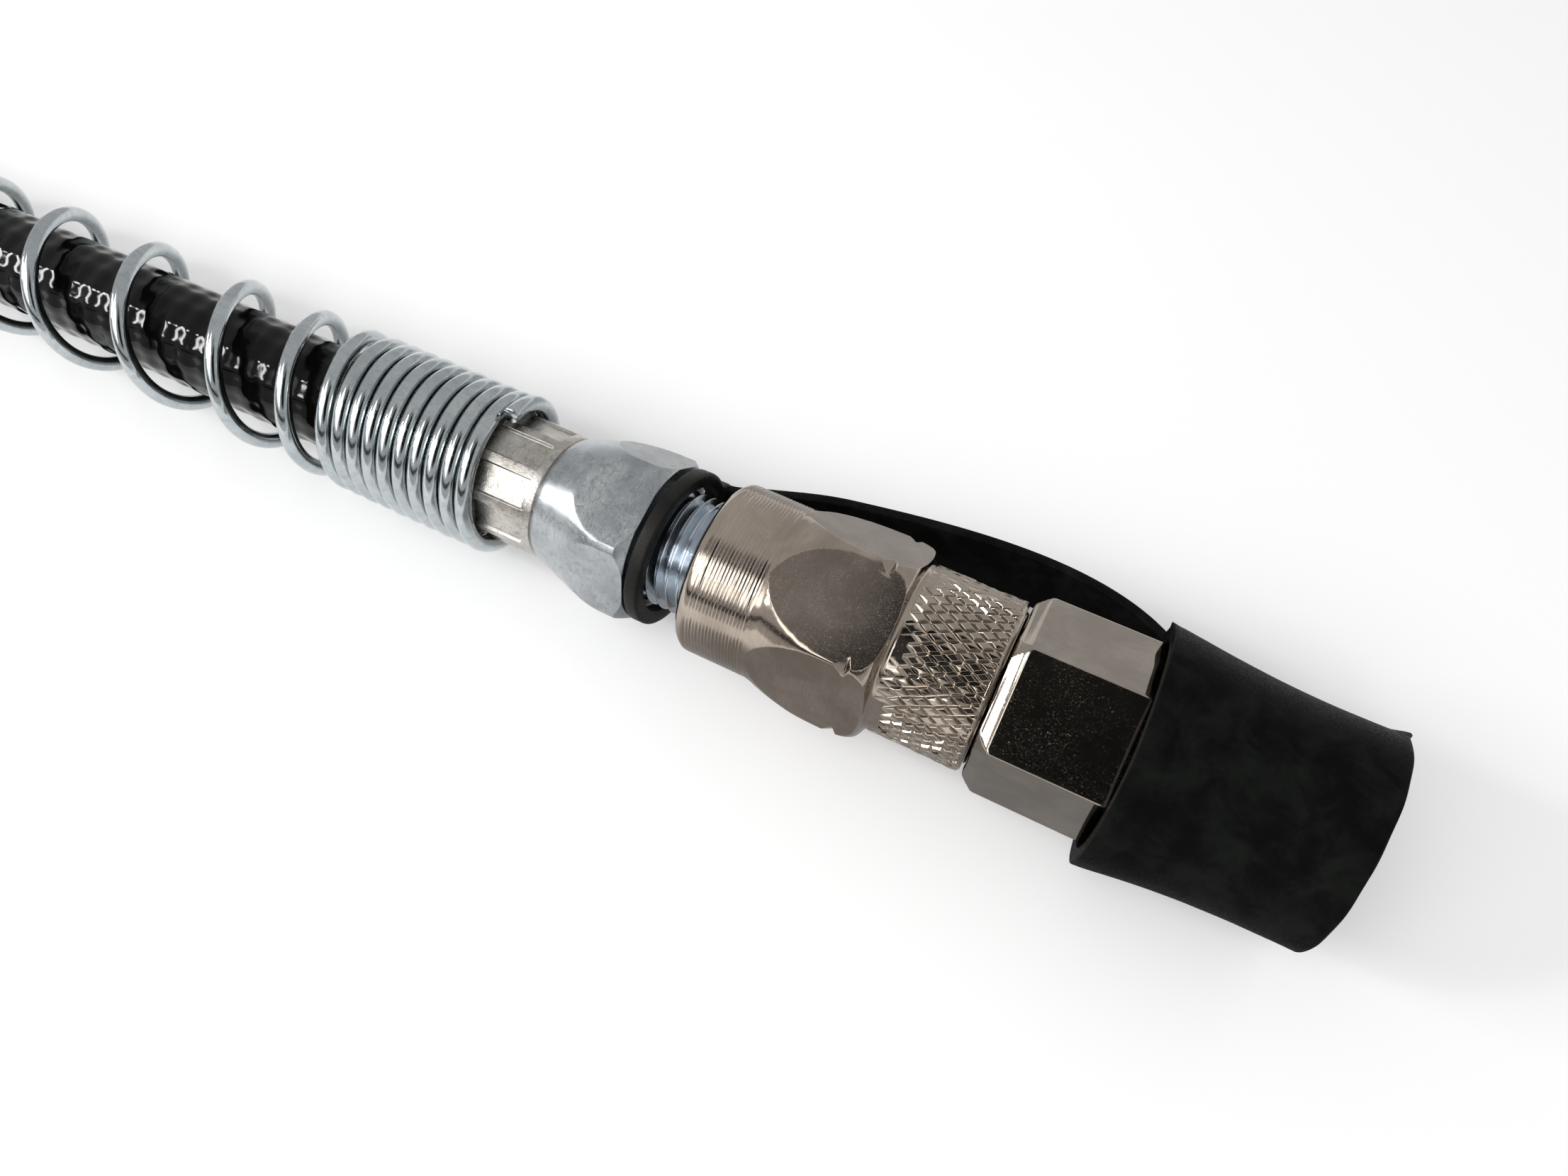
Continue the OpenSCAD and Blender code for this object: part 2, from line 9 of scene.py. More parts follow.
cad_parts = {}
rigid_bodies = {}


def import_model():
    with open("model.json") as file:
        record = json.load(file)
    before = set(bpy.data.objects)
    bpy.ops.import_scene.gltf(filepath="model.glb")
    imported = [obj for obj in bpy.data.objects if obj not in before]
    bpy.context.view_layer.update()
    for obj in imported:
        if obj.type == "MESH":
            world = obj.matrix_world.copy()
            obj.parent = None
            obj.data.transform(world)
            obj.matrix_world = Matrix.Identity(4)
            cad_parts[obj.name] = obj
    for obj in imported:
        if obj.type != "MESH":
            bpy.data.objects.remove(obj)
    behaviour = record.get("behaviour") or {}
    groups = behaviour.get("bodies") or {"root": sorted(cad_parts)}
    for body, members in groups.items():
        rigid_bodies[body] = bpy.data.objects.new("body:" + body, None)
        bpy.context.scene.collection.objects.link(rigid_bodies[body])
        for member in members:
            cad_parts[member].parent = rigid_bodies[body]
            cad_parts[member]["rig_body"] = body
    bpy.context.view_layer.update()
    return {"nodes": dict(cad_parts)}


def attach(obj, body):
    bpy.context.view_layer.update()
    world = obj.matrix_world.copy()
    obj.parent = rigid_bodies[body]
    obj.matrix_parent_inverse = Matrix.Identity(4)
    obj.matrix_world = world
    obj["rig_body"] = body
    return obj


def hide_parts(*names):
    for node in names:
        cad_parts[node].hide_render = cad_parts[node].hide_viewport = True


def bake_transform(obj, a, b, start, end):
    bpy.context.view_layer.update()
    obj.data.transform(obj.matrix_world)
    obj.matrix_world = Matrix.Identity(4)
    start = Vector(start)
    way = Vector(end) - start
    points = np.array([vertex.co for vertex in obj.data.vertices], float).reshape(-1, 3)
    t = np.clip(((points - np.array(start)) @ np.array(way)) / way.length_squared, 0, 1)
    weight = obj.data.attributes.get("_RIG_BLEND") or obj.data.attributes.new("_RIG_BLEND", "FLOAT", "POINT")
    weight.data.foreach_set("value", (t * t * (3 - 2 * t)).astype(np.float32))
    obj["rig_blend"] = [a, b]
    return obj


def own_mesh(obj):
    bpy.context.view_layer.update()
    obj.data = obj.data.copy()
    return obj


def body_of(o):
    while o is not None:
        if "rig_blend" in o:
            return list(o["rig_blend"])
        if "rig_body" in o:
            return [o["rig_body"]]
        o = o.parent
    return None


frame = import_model()

# ---------------------------------------------------------------- shared sizes
# Lengths are millimetres and angles are degrees, except in the stage, which is in metres. A station
# is a distance along the coupler's axis, forwards from the rear face of the coupler's body. An
# angle round that axis is 0 at +Y and 90 at +Z.
MM = 0.001
AXIS = np.array([-7.0, -1.57797, 9.7])
REAR_X, REAR_Z = -299.0, 7.2

# How far each hexagon is turned, where the strap runs and where it is rooted, and the angle round
# the axis that is up for the camera
STEM_TURN, BODY_TURN, NUT_TURN = 105.4, 109.3, 121.5
REAR_TURN = 270 - STEM_TURN
STRAP_TURN, STRAP_ROOT = -10.0, -18.0
VIEW_UP = 27.7

# The hose between its ferrules starts at an X and falls on the way: (distance, share of the fall)
HOSE_FRONT, HOSE_LENGTH, HOSE_FALL = -44.0, 218.0, 2.5
ROUTE = [(0, 0), (12, 0), (24, 0.01), (36, 0.04), (48, 0.12), (60, 0.26), (72, 0.44), (84, 0.62),
         (96, 0.78), (108, 0.9), (120, 0.97), (140, 1), (160, 1), (180, 1), (200, 1),
         (HOSE_LENGTH, 1)]

# Stations and radii that two pieces have in common
STEM_FACE, STEM_BORE_R = -5.0, 1.6
BODY_BORE_R, CHECK_SEAT, CHECK_SEAT_R = 4.4, 9.0, 1.5


# ---------------------------------------------------------------- camera
def make_camera():
    """The camera that was fitted to the outlines in the photo."""
    ahead = Vector((-0.2326, 0.4567, -0.8587)).normalized()
    level = Vector((0.8911, 0.4538, 0)).normalized()
    place = AXIS + (25.7, -38.3016, 73.1)
    up = level.cross(ahead).normalized()
    right = ahead.cross(up)
    data = bpy.data.cameras.new("camera")
    data.lens, data.sensor_width, data.sensor_fit = 24.04, 36, "HORIZONTAL"
    data.clip_start, data.clip_end = 0.001, 100
    camera = bpy.data.objects.new("camera", data)
    turn = Matrix((right, up, -ahead)).transposed().to_4x4()
    camera.matrix_world = Matrix.Translation(Vector(place) * MM) @ turn
    bpy.context.scene.collection.objects.link(camera)
    bpy.context.scene.camera = camera


make_camera()


# ---------------------------------------------------------------- places
def front(points):
    """Points given by station and offset from the coupler's axis, put in place."""
    return np.asarray(points, float) + AXIS


def rear(points):
    """The same for the fitting at the gun's end, which is turned end for end."""
    x, y, z = np.moveaxis(np.asarray(points, float), -1, 0)
    a = math.radians(REAR_TURN)
    c, s = math.cos(a), math.sin(a)
    return np.stack([REAR_X - x, AXIS[1] + c * y - s * z, REAR_Z + s * y + c * z], axis=-1)


def metres(station, y=0.0, z=0.0):
    """One point as for front(), in metres."""
    return tuple(front([station, y, z]) * MM)


def axis_height(x):
    """Height of the hose's axis, its route's corners smoothed over 16 mm."""
    xs = np.array([HOSE_FRONT - d for d, _ in ROUTE])[::-1]
    zs = np.array([AXIS[2] - share * HOSE_FALL for _, share in ROUTE])[::-1]
    near = [np.interp(np.asarray(x, float) + d, xs, zs) for d in (-8, -4, 0, 4, 8)]
    return np.mean(near, axis=0)


def across_view(points):
    """(offset towards the camera's up, offset at right angles to it) of points round the axis."""
    y, z = points[..., 1], points[..., 2]
    c, s = math.cos(math.radians(VIEW_UP)), math.sin(math.radians(VIEW_UP))
    return y * c + z * s, z * c - y * s


def grow(value, start, end):
    """0 before start, 1 after end and a straight rise in between; start may be the larger one."""
    return np.clip((value - start) / (end - start), 0, 1)


def ease(share):
    """A straight rise from 0 to 1 made soft at both ends."""
    share = np.clip(share, 0, 1)
    return share * share * (3 - 2 * share)


# ---------------------------------------------------------------- mesh tools
def smooth_line(points, count):
    """Points on a smooth curve through the given ones, count to each stretch."""
    p = np.asarray(points, float)
    p = np.vstack([2 * p[0] - p[1], p, 2 * p[-1] - p[-2]])
    out = []
    for i in range(1, len(p) - 2):
        for t in np.arange(count) / count:
            a, b, c, d = p[i - 1:i + 3]
            out.append(0.5 * (2 * b + (c - a) * t + (2 * a - 5 * b + 4 * c - d) * t * t
                              + (3 * b - a - 3 * c + d) * t ** 3))
    return [tuple(q) for q in out] + [tuple(p[-2])]


def quads(rows, columns, wrap_rows=False, wrap_columns=False):
    """Faces of a grid of points stored row by row."""
    i = np.arange(rows if wrap_rows else rows - 1)
    j = np.arange(columns if wrap_columns else columns - 1)
    i, j = (a.ravel() for a in np.meshgrid(i, j, indexing="ij"))
    k, n = (i + 1) % rows, (j + 1) % columns
    corners = [i * columns + j, k * columns + j, k * columns + n, i * columns + n]
    return np.stack(corners, axis=1).tolist()


def rings(rows, angles):
    """Points of rows of (station, radius), each a number or one value for each angle."""
    a = np.radians(angles)
    flat = np.zeros(len(a))
    return np.array([np.stack([s + flat, r * np.cos(a), r * np.sin(a)], axis=1) for s, r in rows])


def closed(rows, angles):
    """The shape of a closed outline, given as rows for rings()."""
    return rings(rows, angles).reshape(-1, 3), quads(len(rows), len(angles), True, True), []


def weld(points, faces, sharp):
    """Makes equal points one and leaves out the faces that shrink to nothing."""
    same = 2e-4
    key = np.round(points / same).astype(np.int64)
    _, first, index = np.unique(key, axis=0, return_index=True, return_inverse=True)
    index = index.ravel()
    kept = []
    for face in faces:
        g = [int(index[i]) for i in face]
        g = [a for k, a in enumerate(g) if a != g[k - 1]]
        if len(g) > 2 and len(set(g)) == len(g):
            kept.append(g)
    pairs = {tuple(sorted((int(index[a]), int(index[b])))) for a, b in sharp if index[a] != index[b]}
    return points[first], kept, pairs


def make(name, shape, material, nodes=(), crease=30.0, body="hose_assembly", place=front):
    """One visible piece from (points, faces, pairs of points along sharp edges)."""
    points, faces, sharp = shape
    points, faces, pairs = weld(np.asarray(points, float).reshape(-1, 3), faces, sharp)
    if place:
        points = place(points)
    mesh = bpy.data.meshes.new(name)
    mesh.from_pydata((points * MM).tolist(), [], faces)
    bm = bmesh.new()
    bm.from_mesh(mesh)
    loose = [v for v in bm.verts if not v.link_faces]
    bmesh.ops.delete(bm, geom=loose, context="VERTS")
    bmesh.ops.recalc_face_normals(bm, faces=bm.faces)
    bm.to_mesh(mesh)
    bm.free()
    mesh.shade_smooth()
    mesh.set_sharp_from_angle(angle=math.radians(crease))
    if pairs and not loose:
        for edge in mesh.edges:
            if tuple(sorted(edge.vertices)) in pairs:
                edge.use_edge_sharp = True
    mesh.materials.append(material)
    ob = bpy.data.objects.new(name, mesh)
    bpy.context.scene.collection.objects.link(ob)
    if body:
        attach(ob, body)
    if nodes:
        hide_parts(*nodes)
    return ob


def hexagon(across, turn, corner):
    """(radius of a hexagonal bar at each angle, angles that show its flats and rounded corners)."""
    half, middle = across / 2, (across / 2 - corner) / math.cos(math.radians(30))
    tangent = 30 - math.degrees(math.atan2(middle / 2, half))

    def radius(angle, inset=0.0):
        off = np.abs((np.asarray(angle) - turn + 30) % 60 - 30)
        away = np.radians(30 - off)
        flat = half / np.cos(np.radians(off))
        bow = np.sqrt(np.maximum(corner ** 2 - (middle * np.sin(away)) ** 2, 0))
        rounded = middle * np.cos(away) + bow
        return np.where(30 - off <= tangent, rounded, flat) * (1 - inset / half)

    offs = list(np.arange(0, 30 - tangent, 1.25)) + [30 - tangent * k for k in (1, 0.66, 0.33, 0)]
    angles = {round((turn + 60 * k + side * o) % 360, 6)
              for k in range(6) for o in offs for side in (-1, 1)}
    return radius, np.array(sorted(angles))


def lathe(outline, angles=np.arange(0, 360, 3.0), limit=None):
    """A closed outline of (station, radius) turned round the axis. limit is the bar it is cut
    from, and a third number in a point is how far the bar's flats are rounded off there."""
    rows, sharp, n = [], [], len(angles)
    tiny, near_end, unlimited = 1e-9, 1e-3, 1e9
    for i, (s0, r0, *in0) in enumerate(outline):
        s1, r1, *in1 = outline[(i + 1) % len(outline)]
        h0, h1 = (limit(angles, *k) if limit else np.full(n, unlimited) for k in (in0, in1))
        rows.append((s0, np.minimum(r0, h0)))
        if limit and r0 != r1 and max(r0, r1) > min(h0.min(), h1.min()):
            closing = (r1 - r0) - (h1 - h0)
            t = np.clip((h0 - r0) / np.where(np.abs(closing) < tiny, tiny, closing), 0, 1)
            inside = (t > near_end) & (t < 1 - near_end)
            if inside.any():
                for j in np.flatnonzero(inside & np.roll(inside, -1)):
                    sharp.append((len(rows) * n + j, len(rows) * n + (j + 1) % n))
                rows.append((s0 + (s1 - s0) * t, np.minimum(r0 + (r1 - r0) * t, h0 + (h1 - h0) * t)))
    points, faces, _ = closed(rows, angles)
    return points, faces, sharp


def sweep(path, centres, radius, sides):
    """A round wire along a path, its ends cut square with a small bevel."""
    bevel = 0.12
    path = np.asarray(path, float)
    way = np.gradient(path, axis=0)
    way /= np.linalg.norm(way, axis=1)[:, None]
    out = path - centres
    out -= (out * way).sum(1)[:, None] * way
    out /= np.linalg.norm(out, axis=1)[:, None]
    side = np.cross(way, out)
    step = radius * bevel
    path = np.vstack([path[0], path[0] + way[0] * step, path[1:-1], path[-1] - way[-1] * step, path[-1]])
    out, side = (np.vstack([v[0], v[0], v[1:-1], v[-1], v[-1]]) for v in (out, side))
    r = np.full(len(path), radius)
    r[[0, -1]] *= 1 - bevel
    a = np.linspace(0, 2 * np.pi, sides, endpoint=False)
    ring = np.cos(a)[None, :, None] * out[:, None] + np.sin(a)[None, :, None] * side[:, None]
    points = path[:, None] + r[:, None, None] * ring
    last = (len(path) - 1) * sides
    faces = quads(len(path), sides, False, True)
    faces += [list(range(sides)), list(range(last, last + sides))]
    return points.reshape(-1, 3), faces, []


# ---------------------------------------------------------------- materials
def tone(*levels):
    """An sRGB colour from 0 to 255 as Blender's linear one."""
    parts = [v / 255 for v in levels]
    return tuple(c / 12.92 if c <= 0.04045 else ((c + 0.055) / 1.055) ** 2.4 for c in parts) + (1.0,)


class Nodes:
    """Short names for the nodes of one material."""

    def __init__(self, name):
        self.material = bpy.data.materials.new(name)
        self.material.use_nodes = True
        self.tree = self.material.node_tree
        self.tree.nodes.clear()
        self.out = self.add("ShaderNodeOutputMaterial")
        self.shader = self.add("ShaderNodeBsdfPrincipled")
        self.tree.links.new(self.shader.outputs[0], self.out.inputs[0])
        self.place = self.add("ShaderNodeTexCoord").outputs["Object"]

    def add(self, kind, **settings):
        node = self.tree.nodes.new(kind)
        for key, value in settings.items():
            setattr(node, key, value)
        return node

    def put(self, node, **sockets):
        """Links or sets sockets by name, with _ for a space."""
        for key, value in sockets.items():
            self.put_at(node, key.replace("_", " "), value)

    def put_at(self, node, socket, value):
        if isinstance(value, bpy.types.NodeSocket):
            self.tree.links.new(value, node.inputs[socket])
        else:
            node.inputs[socket].default_value = value

    def math(self, operation, a, b, clamp=False):
        node = self.add("ShaderNodeMath", operation=operation, use_clamp=clamp)
        self.put_at(node, 0, a)
        self.put_at(node, 1, b)
        return node.outputs[0]

    def times(self, a, b):
        return self.math("MULTIPLY", a, b)

    def noise(self, per_mm, detail, rough, twist=0.0, shift=(0, 0, 0)):
        """Noise on the piece; per_mm is how fine it is along X, Y and Z."""
        stretched = self.add("ShaderNodeMapping")
        self.put(stretched, Vector=self.place, Scale=[v / MM for v in per_mm], Location=shift)
        node = self.add("ShaderNodeTexNoise")
        self.put(node, Vector=stretched.outputs[0], Scale=1.0, Detail=detail, Roughness=rough,
                 Distortion=twist)
        return node.outputs[0]

    def range(self, value, low, high, to_low=0.0, to_high=1.0):
        node = self.add("ShaderNodeMapRange", interpolation_type="SMOOTHSTEP")
        self.put(node, Value=value, From_Min=low, From_Max=high, To_Min=to_low, To_Max=to_high)
        return node.outputs[0]

    def around(self, grain, rough):
        """A roughness that a grain varies by 30 % both ways."""
        return self.range(grain, 0.3, 0.7, rough * 0.7, rough * 1.3)

    def mix(self, share, a, b):
        node = self.add("ShaderNodeMix", data_type="RGBA")
        for socket, value in ((0, share), (6, a), (7, b)):
            self.put_at(node, socket, value)
        return node.outputs[2]

    def bump(self, height, distance, normal):
        """distance is the height in millimetres that a value of 1 stands for."""
        node = self.add("ShaderNodeBump")
        self.put(node, Height=height, Distance=distance * MM, Strength=1.0, Normal=normal)
        return node.outputs[0]

    def edges(self, radius):
        """(rounded normal, 0 to 1 along sharp edges)."""
        bevel = self.add("ShaderNodeBevel", samples=6)
        self.put(bevel, Radius=radius * MM)
        flat = self.add("ShaderNodeNewGeometry").outputs["Normal"]
        dot = self.add("ShaderNodeVectorMath", operation="DOT_PRODUCT")
        self.put_at(dot, 0, bevel.outputs[0])
        self.put_at(dot, 1, flat)
        return bevel.outputs[0], self.range(dot.outputs["Value"], 0.995, 0.9)

    def finish(self, **sockets):
        self.put(self.shader, **sockets)
        return self.material


def metal(name, dark, light, rough, streak, speck, fleck=0.0, stain=None, stain_share=0.0,
          edge=None, lines=(14, 0.6, 0.6), dent=0.0):
    """A plated metal. Its tone drifts from dark to light, with fine machining lines (as fine as
    lines, as high as streak), grain and pits (as high as speck), rough flecks, stains, strokes
    (as deep as dent) and bright worn edges."""
    n = Nodes(name)
    drift = n.noise((0.25, 0.25, 0.25), 4.0, 0.6, 0.4)
    fine = n.noise(lines, 4.0, 0.6)
    grain = n.noise((9, 9, 9), 3.0, 0.7)
    pits = n.range(n.noise((5, 5, 5), 5.0, 0.75, 0.6, (3, 7, 1)), 0.62, 0.72)
    dots = n.range(n.noise((16, 24, 24), 4.0, 0.75, 0.4, (1, 4, 6)), 0.58, 0.7)
    darker = tuple(c * 0.72 for c in dark[:3]) + (1,)
    colour = n.mix(n.range(drift, 0.3, 0.7), dark, light)
    colour = n.mix(n.range(fine, 0.35, 0.75, 0.0, 0.3), colour, darker)
    if stain:
        patch = n.range(n.noise((1.3, 1.3, 1.3), 8.0, 0.75, 0.8, (5, 2, 9)), 0.5, 0.6)
        colour = n.mix(n.times(patch, stain_share), colour, stain)
    normal, worn = n.edges(0.07)
    colour = n.mix(n.times(worn, 0.55), colour, edge or light)
    roughness = n.math("ADD", n.around(grain, rough), n.times(pits, rough * 0.8))
    roughness = n.math("ADD", roughness, n.times(dots, fleck))
    roughness = n.math("SUBTRACT", roughness, n.times(worn, 0.04), clamp=True)
    normal = n.bump(fine, streak, normal)
    normal = n.bump(n.math("SUBTRACT", grain, pits), speck, normal)
    if dent:
        strokes = n.range(n.noise((7, 13, 13), 3.0, 0.8, 1.5, (8, 3, 2)), 0.64, 0.7)
        normal = n.bump(n.times(strokes, n.range(drift, 0.35, 0.65, 0.1, 1.0)), dent, normal)
    return n.finish(Base_Color=colour, Metallic=1.0, Roughness=roughness, Normal=normal)


def rubber(name, dark, light, rough, dust_and_highlight, relief, gloss):
    """A black rubber with drifting tone, a fine grain as high as relief, and marks and edges in a lighter
    tone: dust, which on the strap ring is partly a painted highlight.
    """
    n = Nodes(name)
    drift = n.noise((0.35, 0.35, 0.35), 5.0, 0.6, 0.5)
    grain = n.noise((6, 6, 6), 4.0, 0.7)
    marks = n.range(n.noise((1.6, 3.2, 3.2), 6.0, 0.7, 1.0, (4, 1, 8)), 0.66, 0.76)
    colour = n.mix(n.range(drift, 0.35, 0.7), dark, light)
    colour = n.mix(n.times(marks, 0.4), colour, dust_and_highlight)
    normal, worn = n.edges(0.12)
    colour = n.mix(n.times(worn, 0.35), colour, dust_and_highlight)
    roughness = n.math("ADD", n.around(grain, rough), n.times(marks, 0.12), clamp=True)
    normal = n.bump(n.math("ADD", grain, n.times(drift, 2.0)), relief, normal)
    return n.finish(Base_Color=colour, Roughness=roughness, Normal=normal, Specular_IOR_Level=gloss)


NICKEL = metal("coupler_nickel", tone(158, 146, 134), tone(181, 169, 157), rough=0.11,
               streak=0.0012, speck=0.0015, fleck=0.22, edge=tone(224, 215, 202), dent=0.012)
NUT = metal("nut_nickel", tone(156, 147, 137), tone(174, 165, 154), rough=0.04, streak=0.0006,
            speck=0.0003, edge=tone(224, 216, 204), lines=(0.6, 11, 11), dent=0.004)
GRIP = metal("grip_nickel", tone(162, 151, 139), tone(184, 173, 161), rough=0.08, streak=0.0006,
             speck=0.001, fleck=0.08, edge=tone(236, 229, 219))
STEM = metal("stem_zinc", tone(158, 163, 167), tone(186, 190, 192), rough=0.19, streak=0.004,
             speck=0.012, fleck=0.25, stain=tone(138, 139, 138), stain_share=0.45,
             edge=tone(232, 234, 235), lines=(10, 0.8, 0.8), dent=0.01)
# The thread's zinc is a lighter, bluer copy of the stem's: painted light, brightening the thread that lies
# in the shade of the ring and the coupler.
THREAD_ZINC_PAINTED_LIGHT = metal("thread_zinc_painted_light", tone(188, 197, 206), tone(208, 215, 222), rough=0.14, streak=0.001,
               speck=0.002, fleck=0.1, edge=tone(235, 238, 242), lines=(1, 1, 1))
FERRULE = metal("ferrule_zinc", tone(176, 172, 165), tone(208, 204, 198), rough=0.17, streak=0.002,
                speck=0.02, fleck=0.2, stain=tone(128, 119, 108), stain_share=0.4,
                edge=tone(240, 237, 232), lines=(3, 3, 3), dent=0.015)
WIRE = metal("guard_wire", tone(176, 183, 186), tone(194, 200, 202), rough=0.1, streak=0.001,
             speck=0.002, fleck=0.06, stain=tone(132, 135, 136), stain_share=0.25,
             edge=tone(218, 223, 226), lines=(1, 2.5, 2.5))
STEEL = metal("inner_steel", tone(138, 136, 133), tone(170, 168, 165), rough=0.26, streak=0.006,
              speck=0.01, fleck=0.1, edge=tone(205, 203, 200))
BALL = metal("ball_steel", tone(190, 192, 194), tone(205, 207, 209), rough=0.08, streak=0.001,
             speck=0.001)
HOSE = rubber("hose_rubber", tone(6, 6, 6), tone(12, 11, 10), rough=0.045, dust_and_highlight=tone(20, 19, 17),
              relief=0.0025, gloss=0.15)
CAP = rubber("cap_rubber", tone(6, 7, 6), tone(20, 22, 20), rough=0.5, dust_and_highlight=tone(60, 63, 58),
             relief=0.02, gloss=0.04)
# The ring's tone, lighter than the cap's, and the brown of its marks and edges are partly a painted
# highlight along its outer edge.
RING_PAINTED_HIGHLIGHT = rubber("ring_rubber_painted_highlight", tone(13, 13, 12), tone(26, 25, 22), rough=0.45, dust_and_highlight=tone(70, 64, 56),
              relief=0.02, gloss=0.2)
SEAL = rubber("seal_rubber", tone(30, 28, 27), tone(40, 38, 36), rough=0.5, dust_and_highlight=tone(80, 76, 70),
              relief=0.01, gloss=0.4)


# ---------------------------------------------------------------- hose
def build_hose():
    """A rubber hose whose cover keeps the faint diamond print of the braid below it. Gives the
    piece and the hose's path in metres."""
    cover_r, bore_r, in_ferrule = 4.64, 2.6, 5
    print_pitch, print_round, print_height, lump_height = 4.7, 8, 0.08, 0.02
    row_step, column_step, bore_rows, path_step = -0.4, 3.75, 30, 5.45
    full = 2 * np.pi
    xs = np.arange(HOSE_FRONT + in_ferrule, HOSE_FRONT - HOSE_LENGTH - in_ferrule - 0.001, row_step)
    a = np.radians(np.arange(0, 360, column_step))
    x, share = xs[:, None], np.degrees(a)[None, :] / 360
    mesh_print = (np.sin(full * (x / print_pitch + print_round * share))
                  * np.sin(full * (x / print_pitch - print_round * share)))
    lumps = np.sin(x * 0.9 + 2.0 * np.sin(full * share)) * np.cos(full * 2 * share + x * 0.21)
    r = cover_r + print_height * mesh_print + lump_height * lumps

    def tube(x, z, r):
        return np.stack([x + 0 * r, AXIS[1] + r * np.cos(a), z + r * np.sin(a)], axis=-1)

    z = axis_height(xs)[:, None]
    back = np.linspace(len(xs) - 1, 0, bore_rows).astype(int)
    points = np.vstack([tube(x, z, r), tube(x[back], z[back], np.full((bore_rows, len(a)), bore_r))])
    shape = points, quads(len(points), len(a), True, True), []
    hose = make("whip_hose", shape, HOSE, ["hose"], 60, place=None)
    line = HOSE_FRONT - np.arange(0, HOSE_LENGTH + 0.01, path_step)
    return hose, [[x * MM, AXIS[1] * MM, float(axis_height(x)) * MM] for x in line]


# ---------------------------------------------------------------- spring guard
def build_guard():
    """One wire: close turns on both ferrules and open turns on the hose, wound right-handed."""
    wire_r, winding_r, wire_sides, wind_step = 0.71, 6.44, 16, 5.0
    first_at, facing, past_front, past_rear = -20.7, 117.7, 320, 300
    lean_forward, lean_sideways, uneven = -1.1, 0.4, 0.02
    lift_from, lift_to, end_lift, end_back = 300, 437, 0.42, 0.1
    # Distances between the turns as they are met on the side that faces the camera
    close, wide, close_turns, wide_turns = 1.61, 10.868, 9, 15
    opening, closing = [4.6, 8.0, 11.3, 11.1], [11.0, 8.0, 4.6]
    gaps = [close] * close_turns + opening + [wide] * wide_turns + closing + [close] * close_turns
    at = first_at - np.concatenate([[0], np.cumsum(gaps)])
    turns = facing - 360 * np.arange(len(at))
    phi = np.arange(turns[-1] - past_rear, facing + past_front + 0.01, wind_step)
    fine = np.arange(turns[-1] - 360, turns[0] + 361, 1.0)
    s = np.interp(fine, np.concatenate([[turns[-1] - 360], turns[::-1], [turns[0] + 360]]),
                  np.concatenate([[at[-1] - close], at[::-1], [at[0] + close]]))
    # The pitch changes smoothly, over this many degrees both ways
    reach = 150
    kernel = np.hanning(2 * reach + 1) / np.hanning(2 * reach + 1).sum()
    s = np.convolve(np.pad(s, reach, mode="reflect", reflect_type="odd"), kernel, mode="valid")
    s = np.interp(phi, fine, s)
    # The turns lean, the open ones most, and the wire's front end stands off the others
    lean = np.interp(s, [-268, -256, -36, -26], [0.45, 1, 1, 0.45])
    a, b = np.radians(phi), math.radians(facing)
    s = s + lean * (lean_forward * (np.cos(a) - math.cos(b))
                    + lean_sideways * (np.sin(a) - math.sin(b)))
    lift = grow(phi, lift_from, lift_to)
    s = s - end_back * lift
    r = winding_r + end_lift * lift ** 2 + uneven * np.sin(phi / 97.0)
    x = s + AXIS[0]
    z = axis_height(x)
    path = np.stack([x, AXIS[1] + r * np.cos(a), z + r * np.sin(a)], axis=1)
    centres = np.stack([x, np.full(len(x), AXIS[1]), z], axis=1)
    shape = sweep(path, centres, wire_r, wire_sides)
    return make("guard_spring", shape, WIRE, ["spring_guard"], 50, place=None)


# ---------------------------------------------------------------- ferrule
def ferrule_shape():
    """A cup with ten pressed flats between raised ridges, a plain collar and a rounded mouth."""
    back, wall, mouth, cup_r, hose_r, hole_r = -37.0, -15.92, -14.63, 5.62, 4.72, 3.0
    flats, first_flat, flat_half, ridge_rise, press, uneven = 10, 20, 12.7, 1.2, 0.34, 0.014
    offs = np.array([-18, -16, -14.3, -13.9, -12.7, -12.3, -8, -4,
                     0, 4, 8, 12.3, 12.7, 13.9, 14.3, 16])
    angles = np.concatenate([first_flat + 360 / flats * k + offs for k in range(flats)])
    off = np.abs(np.tile(offs, flats))
    # (station, radius, how far the flats are pressed in)
    stations = [(back, 5.15, 0), (-36.9, 5.4, 0), (-36.65, 5.52, 0), (-36.2, 5.56, 0),
                (-35.7, 5.6, 0.4), (-35.2, cup_r, 1)]
    stations += [(s, cup_r, 1) for s in np.arange(-34.2, -16.0, 0.8)]
    stations += [(-15.75, 5.6, 1), (-15.62, 5.58, 1), (-15.5, 5.56, 0.15), (-15.38, 5.54, 0),
                 (-15.0, 5.52, 0), (-14.75, 5.46, 0), (mouth, 5.3, 0)]
    rng = np.random.default_rng(4)
    depth = press + rng.uniform(-0.03, 0.03, flats).repeat(len(offs))
    rows = []
    for s, r, pressed in stations:
        flat = (cup_r - depth) / np.cos(np.radians(np.minimum(off, flat_half)))
        ridge = flat + (r - flat) * grow(off, flat_half, flat_half + ridge_rise)
        shaped = np.where(off <= flat_half, flat, ridge)
        radii = r + (np.minimum(shaped, r) - r) * pressed
        if pressed == 1:
            radii = radii + np.where(off < flat_half, rng.uniform(-uneven, uneven, len(radii)), 0)
        rows.append((s, radii))
    rows += [(mouth, hole_r), (wall, hole_r), (wall, hose_r), (back, hose_r)]
    return closed(rows, angles)


